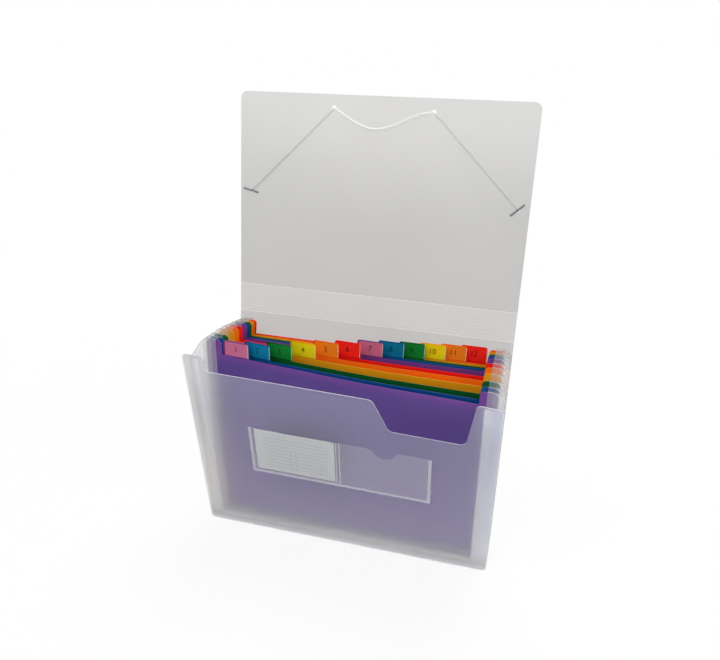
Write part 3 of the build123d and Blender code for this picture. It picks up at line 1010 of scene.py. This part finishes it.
class FOLDER_OT_dividers(bpy.types.Operator):
    """Cuts the twelve tinted dividers, slightly bowed, each with its tab, sleeve, slip and number"""

    bl_idname = "folder.dividers"
    bl_label = "Dividers"

    def sheet_corners(self, centre):
        """A divider's outline: an ear at each end and one tab."""
        half = DIVIDER_WIDTH / 2
        inner = half - DIVIDER_EAR_WIDTH
        ear_top = DIVIDER_EDGE_HEIGHT + DIVIDER_EAR_RISE
        left, right = centre - TAB_WIDTH / 2, centre + TAB_WIDTH / 2
        return [
            (-half, DIVIDER_FOOT, 0),
            (half, DIVIDER_FOOT, 0),
            (half, ear_top, DIVIDER_EAR_RADIUS),
            (inner, ear_top, DIVIDER_EAR_RADIUS),
            (inner, DIVIDER_EDGE_HEIGHT, 0),
            (right, DIVIDER_EDGE_HEIGHT, 0),
            (right, TAB_TOP, TAB_RADIUS),
            (left, TAB_TOP, TAB_RADIUS),
            (left, DIVIDER_EDGE_HEIGHT, 0),
            (-inner, DIVIDER_EDGE_HEIGHT, 0),
            (-inner, ear_top, DIVIDER_EAR_RADIUS),
            (-half, ear_top, DIVIDER_EAR_RADIUS),
        ]

    def slip(self, centre, inset, shift, layer):
        """A small flat sheet over the tab, less an inset, at a layer in front of the divider."""
        left = centre - TAB_WIDTH / 2 + inset + shift
        right = centre + TAB_WIDTH / 2 - inset + shift
        foot, top_painted_light = DIVIDER_EDGE_HEIGHT + inset, TAB_TOP - inset
        rounding = TAB_RADIUS / 2
        bm = cut_outline([(left, foot, 0), (right, foot, 0), (right, top_painted_light, rounding), (left, top_painted_light, rounding)])
        bmesh.ops.translate(bm, verts=bm.verts[:], vec=(0, -layer, 0))
        return bm

    def number(self, number, height, layer):
        """A divider's number as a flat mesh on its slip."""
        text = bpy.data.curves.new("number", "FONT")
        text.body = str(number)
        text.size = height
        text.align_x = "CENTER"
        text.align_y = "CENTER"
        holder = bpy.data.objects.new("number", text)
        bpy.context.scene.collection.objects.link(holder)
        flat = bpy.data.meshes.new_from_object(holder.evaluated_get(bpy.context.evaluated_depsgraph_get()))
        bpy.data.objects.remove(holder)
        bm = bmesh.new()
        bm.from_mesh(flat)
        bpy.data.meshes.remove(flat)
        middle = DIVIDER_EDGE_HEIGHT + TAB_RISE / 2
        place = Matrix.Translation((tab_centre(number), -layer, middle))
        bm.transform(place @ Matrix.Rotation(math.pi / 2, 4, "X"))
        return bm

    def execute(self, context):
        sizes, colours = context.scene.folder_sizes, context.scene.folder_colours
        paper = made(plain_paper, "slip_paper", colours.slip)
        ink = made(flat_ink, "number_ink", colours.ink)
        face = DIVIDER_THICKNESS / 2
        for number in range(1, DIVIDER_COUNT + 1):
            hue = hue_of(number)
            tint = made(tinted_sheet, f"{hue}_sheet", getattr(colours, hue), getattr(colours, f"{hue}_top"))
            film = made(tinted_film, f"{hue}_film", tuple(getattr(colours, f"{hue}_tab")))
            centre = tab_centre(number)
            sheet = cut_outline(self.sheet_corners(centre))
            map_sheet(sheet)
            divide(sheet, DIVIDER_WIDTH, TAB_TOP, BOW_CUTS_ACROSS, BOW_CUTS_UP)
            slip_layer = face + SLEEVE_GAP / 2
            film_layer = face + SLEEVE_GAP + SLEEVE_FILM / 2
            slip = self.slip(centre, SLIP_INSET, SLIP_SHIFT, slip_layer)
            sleeve = self.slip(centre, SLEEVE_INSET, 0, film_layer)
            digits = self.number(number, sizes.number_height, slip_layer + SLIP_THICKNESS)
            rows = [
                ("divider_sheet", sheet, tint, f"film_{hue}", DIVIDER_THICKNESS),
                ("tab_slip", slip, paper, "paper", SLIP_THICKNESS),
                ("tab_sleeve", sleeve, film, f"film_{hue}", SLEEVE_FILM),
                ("tab_number", digits, ink, "paper", 0),
            ]
            for name, bm, material, slot, thickness in rows:
                bend(bm, number)
                piece = add_piece(f"{name}_{number:02d}", bm, FRAMES[number], [material], slot, thickness)
                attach(piece, BODIES[number])
            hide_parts(f"divider_{number:02d}")
            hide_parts(f"tab_insert_{number:02d}")
        return {"FINISHED"}


class FOLDER_OT_gussets(bpy.types.Operator):
    """Folds the pleated film that closes each pocket at its sides and bottom"""

    bl_idname = "folder.gussets"
    bl_label = "Gussets"

    def walls(self, pocket, x, height):
        """The points of a pocket's front and rear walls at a place on its two sheets."""
        front = bent(pocket - 1, x, half_sheet(pocket - 1) + WELD_CLEARANCE, height)
        rear = bent(pocket, x, -half_sheet(pocket) - WELD_CLEARANCE, height)
        return FRAMES[pocket - 1] @ front, FRAMES[pocket] @ rear

    def reach(self, across):
        """How far out the pleat stands, from 0 at a weld to 1 at its rounded fold."""
        off = 2 * across - 1
        ends = math.hypot(1, PLEAT_NOSE)
        return (ends - math.hypot(off, PLEAT_NOSE)) / (ends - PLEAT_NOSE)

    def depth(self, across):
        """How far back the pleat has come: it follows each sheet before it crosses the pocket."""
        off = 2 * across - 1
        return 0.5 + math.copysign(0.5 - 0.5 * (1 - abs(off)) ** PLEAT_CLING, off)

    def foot(self, across):
        """The height of the pleat under a pocket, from its welds down to its fold."""
        return BOTTOM_WELD_HEIGHT - (BOTTOM_WELD_HEIGHT - BOTTOM_FOLD_HEIGHT) * self.reach(across)

    def width(self, across):
        """Half the width between a pocket's two side pleats, from their welds out to their folds."""
        return COVER_WIDTH / 2 - GUSSET_DEPTH * (1 - self.reach(across))

    def side(self, pocket, sign):
        """A side pleat, opening upwards, with its top corner rounded at the fold and its foot mitred."""

        def place(across, up):
            """A point of the pleat by its shares across and up."""
            foot = self.foot(across) + MITRE_GAP
            top_painted_light = GUSSET_HEIGHT - PLEAT_TOP_DROP * self.reach(across) ** PLEAT_TOP_ROUND
            below_rim = up * PLEAT_ROWS / (PLEAT_ROWS - 1)
            height = top_painted_light if below_rim > 1 + CUT_TOLERANCE else foot + (top_painted_light - PLEAT_RIM - foot) * below_rim
            front, rear = self.walls(pocket, sign * self.width(across), height)
            return front.lerp(rear, self.depth(across))

        bm = grid_strip(PLEAT_STEPS, PLEAT_ROWS, place)
        for face in bm.faces[-PLEAT_STEPS:]:
            face.material_index = 1
        return bm

    def bottom(self, pocket):
        """The pleat under a pocket, mitred to the side pleats."""

        def place(across, along):
            """A point of the pleat by its shares across and along."""
            half = self.width(across) - MITRE_GAP
            front, rear = self.walls(pocket, half * (2 * along - 1), self.foot(across))
            return front.lerp(rear, self.depth(across))

        return grid_strip(PLEAT_STEPS, PLEAT_ROWS, place)

    def flange(self):
        """The film's margin, welded to the inner face of the front panel along its sides and bottom; it
        reaches far inwards to carry a long faint haze of painted light.
        """
        outer, top_painted_light = COVER_WIDTH / 2 - FLANGE_INSET, EAR_TOP - FLANGE_INSET
        left = LEFT_HAZE[-1][0] - COVER_WIDTH / 2
        right = COVER_WIDTH / 2 - RIGHT_HAZE[-1][0]
        foot, edge = BOTTOM_HAZE[-1][0], FRONT_EDGE_HEIGHT - FLANGE_INSET
        inner = COVER_WIDTH / 2 - EAR_WIDTH + FLANGE_INSET
        notch = FRONT_EDGE_HEIGHT - NOTCH_DEPTH - FLANGE_INSET
        notch_right = inner - NOTCH_RIGHT_FLANK + FLANGE_INSET
        corners = [
            (-outer, FLANGE_INSET, COVER_CORNER_RADIUS),
            (outer, FLANGE_INSET, COVER_CORNER_RADIUS),
            (outer, top_painted_light, EAR_RADIUS),
            (inner, top_painted_light, EAR_RADIUS),
            (notch_right, notch, 0),
            (right, notch, 0),
            (right, foot, 0),
            (left, foot, 0),
            (left, edge, 0),
            (-inner, edge, 0),
            (-inner, top_painted_light, EAR_RADIUS),
            (-outer, top_painted_light, EAR_RADIUS),
        ]
        bm = cut_outline(corners)
        map_sheet(bm)
        divide(bm, COVER_WIDTH, EAR_TOP, BOW_CUTS_ACROSS, BOW_CUTS_UP)
        bend(bm, 0)
        bmesh.ops.translate(bm, verts=bm.verts[:], vec=(0, COVER_THICKNESS / 2 + FLANGE_GAP, 0))
        return bm

    def hang(self, piece, pocket, height):
        """Hang a pleat between its two sheets, each point at its own share of the gap between them."""
        front, rear = self.walls(pocket, 0, height)
        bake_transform(piece, BODIES[pocket - 1], BODIES[pocket], start=front, end=rear)
        crossing, follow = [piece.data.attributes[name].data for name in ("crossing", "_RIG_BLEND")]
        for across, weight in zip(crossing, follow):
            weight.value = self.depth(across.value)

    def execute(self, context):
        colours = context.scene.folder_colours
        film = made(clear_film, "pleat_film", colours.film, PLEAT_HAZE, PLEAT_GLOW)
        rim = made(clear_film, "pleat_rim", colours.film_rim, RIM_HAZE, PLEAT_GLOW)
        # Painted shade: the film under the pockets gets a darker colour and a little less haze than the side
        # pleats
        under = made(clear_film, "pleat_foot_film", colours.foot_film, FOOT_HAZE, PLEAT_GLOW)
        thickness = context.scene.folder_sizes.gusset_film
        for pocket in range(1, POCKET_COUNT + 1):
            rows = [
                (f"pleat_left_{pocket:02d}", self.side(pocket, -1), [film, rim], GUSSET_HEIGHT),
                (f"pleat_right_{pocket:02d}", self.side(pocket, 1), [film, rim], GUSSET_HEIGHT),
                (f"pleat_bottom_{pocket:02d}", self.bottom(pocket), [under], BOTTOM_WELD_HEIGHT),
            ]
            for name, bm, materials, height in rows:
                piece = add_piece(name, bm, Matrix.Identity(4), materials, "clear_film", thickness)
                let_light_through(piece)
                self.hang(piece, pocket, height)
                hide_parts(f"gusset_{pocket:02d}")
        # The front flange's long faint haze inwards is painted light, standing in for light scattered from
        # the bottom film
        margins = (colours.margin_left, colours.margin_right, colours.margin_foot)
        milky = made(margin_film, "flange_film", *margins, PLEAT_GLOW)
        flange = add_piece("front_flange", self.flange(), FRAMES[0], [milky], "clear_film", thickness)
        let_light_through(flange)
        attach(flange, BODIES[0])
        return {"FINISHED"}


class FOLDER_OT_card_pocket(bpy.types.Operator):
    """Makes the two-compartment card pocket on the front panel"""

    bl_idname = "folder.card_pocket"
    bl_label = "Card pocket"

    def film_outline(self):
        """The film's outline, with a round thumb notch over each compartment."""
        half, top_painted_light = LABEL_WIDTH / 2, LABEL_FOOT + LABEL_HEIGHT
        radius = (THUMB_WIDTH**2 / 4 + THUMB_DEPTH**2) / (2 * THUMB_DEPTH)
        sweep = math.asin(THUMB_WIDTH / 2 / radius)
        corners = [(x, z, LABEL_RADIUS) for x, z in ((-half, LABEL_FOOT), (half, LABEL_FOOT), (half, top_painted_light))]
        for side in (1, -1):
            centre = side * half / 2
            for step in range(THUMB_STEPS + 1):
                angle = sweep * (1 - 2 * step / THUMB_STEPS)
                x = centre + radius * math.sin(angle)
                z = top_painted_light - THUMB_DEPTH + radius * (1 - math.cos(angle))
                corners.append((x, z, 0))
        corners.append((-half, top_painted_light, LABEL_RADIUS))
        return cut_outline(corners)

    def beads(self):
        """The raised weld beads round and between the compartments."""
        half, top_painted_light = LABEL_WIDTH / 2, LABEL_FOOT + LABEL_HEIGHT
        edge = half - WELD_BEAD / 2
        spread = LABEL_WELD / 2 - MIDDLE_BEAD / 2
        middle = (LABEL_FOOT + top_painted_light) / 2
        rows = [
            (-edge, middle, WELD_BEAD, LABEL_HEIGHT),
            (edge, middle, WELD_BEAD, LABEL_HEIGHT),
            (0, LABEL_FOOT + WELD_BEAD / 2, LABEL_WIDTH - 2 * WELD_BEAD, WELD_BEAD),
            (-spread, middle + WELD_BEAD / 2, MIDDLE_BEAD, LABEL_HEIGHT - WELD_BEAD),
            (spread, middle + WELD_BEAD / 2, MIDDLE_BEAD, LABEL_HEIGHT - WELD_BEAD),
        ]
        face = COVER_THICKNESS / 2 + LABEL_GAP + LABEL_FILM
        bm = bmesh.new()
        for x, z, width, height in rows:
            place = Matrix.Translation((x, -face, z)) @ Matrix.Diagonal((width, 2 * WELD_RISE, height, 1))
            bar = bmesh.ops.create_cube(bm, size=1.0, matrix=place)
            edges = list({edge for vert in bar["verts"] for edge in vert.link_edges})
            bmesh.ops.bevel(
                bm,
                geom=edges,
                offset=WELD_RISE / 2,
                affect="EDGES",
                segments=BEAD_SEGMENTS,
                profile=0.5,
                material=-1,
            )
        return bm

    def execute(self, context):
        colours = context.scene.folder_colours
        film = made(clear_film, "label_film", colours.label, LABEL_HAZE, LABEL_GLOW)
        weld = made(clear_film, "weld_bead", colours.edge, WELD_HAZE, LABEL_GLOW)
        bm = self.film_outline()
        # Painted highlight: the outline's strip gets the pale weld finish, for light caught at the film's
        # cut edge
        rim = bmesh.ops.inset_region(bm, faces=bm.faces[:], thickness=LABEL_HIGHLIGHT_RIM, use_even_offset=True)
        for face in rim["faces"]:
            face.material_index = 1
        layer = COVER_THICKNESS / 2 + LABEL_GAP + LABEL_FILM / 2
        bmesh.ops.translate(bm, verts=bm.verts[:], vec=(0, -layer, 0))
        bend(bm, 0)
        holder = add_piece("card_pocket_film", bm, FRAMES[0], [film, weld], "clear_film", LABEL_FILM)
        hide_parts("label_holder")
        welds = self.beads()
        bend(welds, 0)
        beads = add_piece("card_pocket_welds", welds, FRAMES[0], [weld], "clear_film", smooth=False)
        for piece in (holder, beads):
            let_light_through(piece)
            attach(piece, "front")
        return {"FINISHED"}


class FOLDER_OT_card(bpy.types.Operator):
    """Rules the index card"""

    bl_idname = "folder.card"
    bl_label = "Index card"

    def execute(self, context):
        colours = context.scene.folder_colours
        inward = FRAMES[0].inverted()
        points = [inward @ vert.co for vert in frame["nodes"]["index_card"].data.vertices]
        low = [min(point[axis] for point in points) for axis in range(3)]
        high = [max(point[axis] for point in points) for axis in range(3)]
        width, height = high[0] - low[0], high[2] - low[2]
        bm = cut_outline([(0, 0, 0), (width, 0, 0), (width, height, 0), (0, height, 0)])
        map_sheet(bm)
        middle = (low[0], (low[1] + high[1]) / 2, low[2])
        bmesh.ops.translate(bm, verts=bm.verts[:], vec=middle)
        bend(bm, 0)
        paper = made(ruled_card, "ruled_card", colours.paper, colours.ruling)
        card = add_piece("card_sheet", bm, FRAMES[0], [paper], "paper", high[1] - low[1])
        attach(card, "card")
        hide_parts("index_card")
        return {"FINISHED"}


class FOLDER_OT_elastic(bpy.types.Operator):
    """Threads the white elastic through the flap's holes, between its two metal tips"""

    bl_idname = "folder.elastic"
    bl_label = "Elastic cord"

    def execute(self, context):
        colours = context.scene.folder_colours
        curve = bpy.data.curves.new("elastic_cord_line", "CURVE")
        curve.dimensions = "3D"
        curve.bevel_depth = CORD_DIAMETER / 2
        curve.bevel_resolution = CORD_RING_STEPS
        curve.use_fill_caps = True
        curve.resolution_u = CORD_CURVE_STEPS
        line = curve.splines.new("NURBS")
        line.points.add(len(CORD_ROUTE) - 1)
        route = [FLAP_FRAME @ Vector(point) for point in CORD_ROUTE]
        for point, place in zip(line.points, route):
            point.co = (*place, 1.0)
        line.order_u = CORD_ORDER
        line.use_endpoint_u = True
        curve.materials.append(made(braided_elastic, "braided_elastic", colours.elastic))
        cord = bpy.data.objects.new("elastic", curve)
        context.scene.collection.objects.link(cord)
        steel = made(plated_steel, "plated_steel", colours.steel)
        tips = [frame["nodes"][node] for node in ("left_cord_tip", "right_cord_tip")]
        for tip in tips:
            tip.data.materials.clear()
            tip.data.materials.append(steel)
        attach(cord, "flap")
        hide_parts("elastic_cord")
        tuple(route[0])
        return {"FINISHED"}


class FOLDER_OT_stage(bpy.types.Operator):
    """Sets the floor, the soft lamps, the white surround and the camera at the photograph's view"""

    bl_idname = "folder.stage"
    bl_label = "Stage"

    def lamp(self, name, place, size, power):
        """A large soft lamp that points at the folder."""
        light = bpy.data.lights.new(name, "AREA")
        light.shape = "DISK"
        light.size = size
        light.energy = power
        lamp = bpy.data.objects.new(name, light)
        lamp.location = place
        aim = Vector(LAMP_TARGET) - Vector(place)
        lamp.rotation_euler = aim.to_track_quat("-Z", "Y").to_euler()
        bpy.context.scene.collection.objects.link(lamp)

    def surround(self, scene):
        """A world that lights softly and looks white to the camera, and through and in the sheets."""
        nodes = Nodes(bpy.data.worlds.new("studio"), "ShaderNodeOutputWorld")
        ambient = nodes.add("ShaderNodeBackground", Color=rgba(WHITE), Strength=AMBIENT_STRENGTH)
        white = nodes.add("ShaderNodeBackground", Color=rgba(WHITE), Strength=1.0)
        scene.world = nodes.done(nodes.mix(nodes.seen(), ambient.outputs[0], white.outputs[0]))

    def camera(self, scene):
        """The camera that the photograph was fitted with."""
        yaw, pitch, roll = (math.radians(angle) for angle in (CAMERA_YAW, CAMERA_PITCH, CAMERA_ROLL))
        ahead = Vector((-math.sin(yaw) * math.cos(pitch), math.cos(yaw) * math.cos(pitch), -math.sin(pitch)))
        right = Vector((math.cos(yaw), math.sin(yaw), 0))
        up = right.cross(ahead)
        rolled_right = right * math.cos(roll) + up * math.sin(roll)
        rolled_up = up * math.cos(roll) - right * math.sin(roll)
        turn = Matrix((rolled_right, rolled_up, -ahead)).transposed().to_4x4()
        lens = bpy.data.cameras.new("camera")
        lens.sensor_fit = "HORIZONTAL"
        lens.sensor_width = SENSOR_WIDTH
        lens.lens = SENSOR_WIDTH * CAMERA_FOCAL_PIXELS / PHOTO_WIDTH
        lens.clip_start = NEAREST_SEEN
        camera = bpy.data.objects.new("camera", lens)
        camera.matrix_world = Matrix.Translation(CAMERA_PLACE) @ turn
        scene.collection.objects.link(camera)
        scene.camera = camera

    def execute(self, context):
        scene = context.scene
        size = scene.folder_sizes.floor_size
        bm = bmesh.new()
        bmesh.ops.create_grid(bm, x_segments=1, y_segments=1, size=size / 2)
        mesh = bpy.data.meshes.new("floor")
        bm.to_mesh(mesh)
        bm.free()
        mesh.materials.append(made(studio_floor, "studio_floor", scene.folder_colours.floor))
        floor = bpy.data.objects.new("floor", mesh)
        floor.location.z = -FLOOR_DROP
        scene.collection.objects.link(floor)
        for name, place, width, power in LAMPS:
            self.lamp(name, place, width, power)
        self.surround(scene)
        self.camera(scene)
        scene.view_settings.view_transform = "Standard"
        scene.cycles.max_bounces = MAX_BOUNCES
        scene.cycles.transmission_bounces = MAX_BOUNCES
        scene.cycles.transparent_max_bounces = MAX_BOUNCES
        return {"FINISHED"}


OPERATORS = (
    FOLDER_OT_covers,
    FOLDER_OT_dividers,
    FOLDER_OT_gussets,
    FOLDER_OT_card_pocket,
    FOLDER_OT_card,
    FOLDER_OT_elastic,
    FOLDER_OT_stage,
)


class FOLDER_PT_panel(bpy.types.Panel):
    """Lists the folder's pieces in the sidebar"""

    bl_idname = "FOLDER_PT_panel"
    bl_label = "File Folder"
    bl_space_type = "VIEW_3D"
    bl_region_type = "UI"
    bl_category = "File Folder"

    def draw(self, context):
        for operator in OPERATORS:
            self.layout.operator(operator.bl_idname)
        for group in (context.scene.folder_sizes, context.scene.folder_colours):
            for name in group.__annotations__:
                self.layout.prop(group, name)


CLASSES = (FolderSizes, FolderColours, *OPERATORS, FOLDER_PT_panel)


def register():
    """Register the classes and put the settings on the scene."""
    for cls in CLASSES:
        bpy.utils.register_class(cls)
    bpy.types.Scene.folder_sizes = bpy.props.PointerProperty(type=FolderSizes)
    bpy.types.Scene.folder_colours = bpy.props.PointerProperty(type=FolderColours)


def unregister():
    """Take the settings off the scene and unregister the classes."""
    del bpy.types.Scene.folder_colours
    del bpy.types.Scene.folder_sizes
    for cls in reversed(CLASSES):
        bpy.utils.unregister_class(cls)


def main():
    """Build the folder."""
    register()
    bpy.ops.folder.covers()
    bpy.ops.folder.dividers()
    bpy.ops.folder.gussets()
    bpy.ops.folder.card_pocket()
    bpy.ops.folder.card()
    bpy.ops.folder.elastic()
    bpy.ops.folder.stage()


if __name__ == "__main__":
    main()
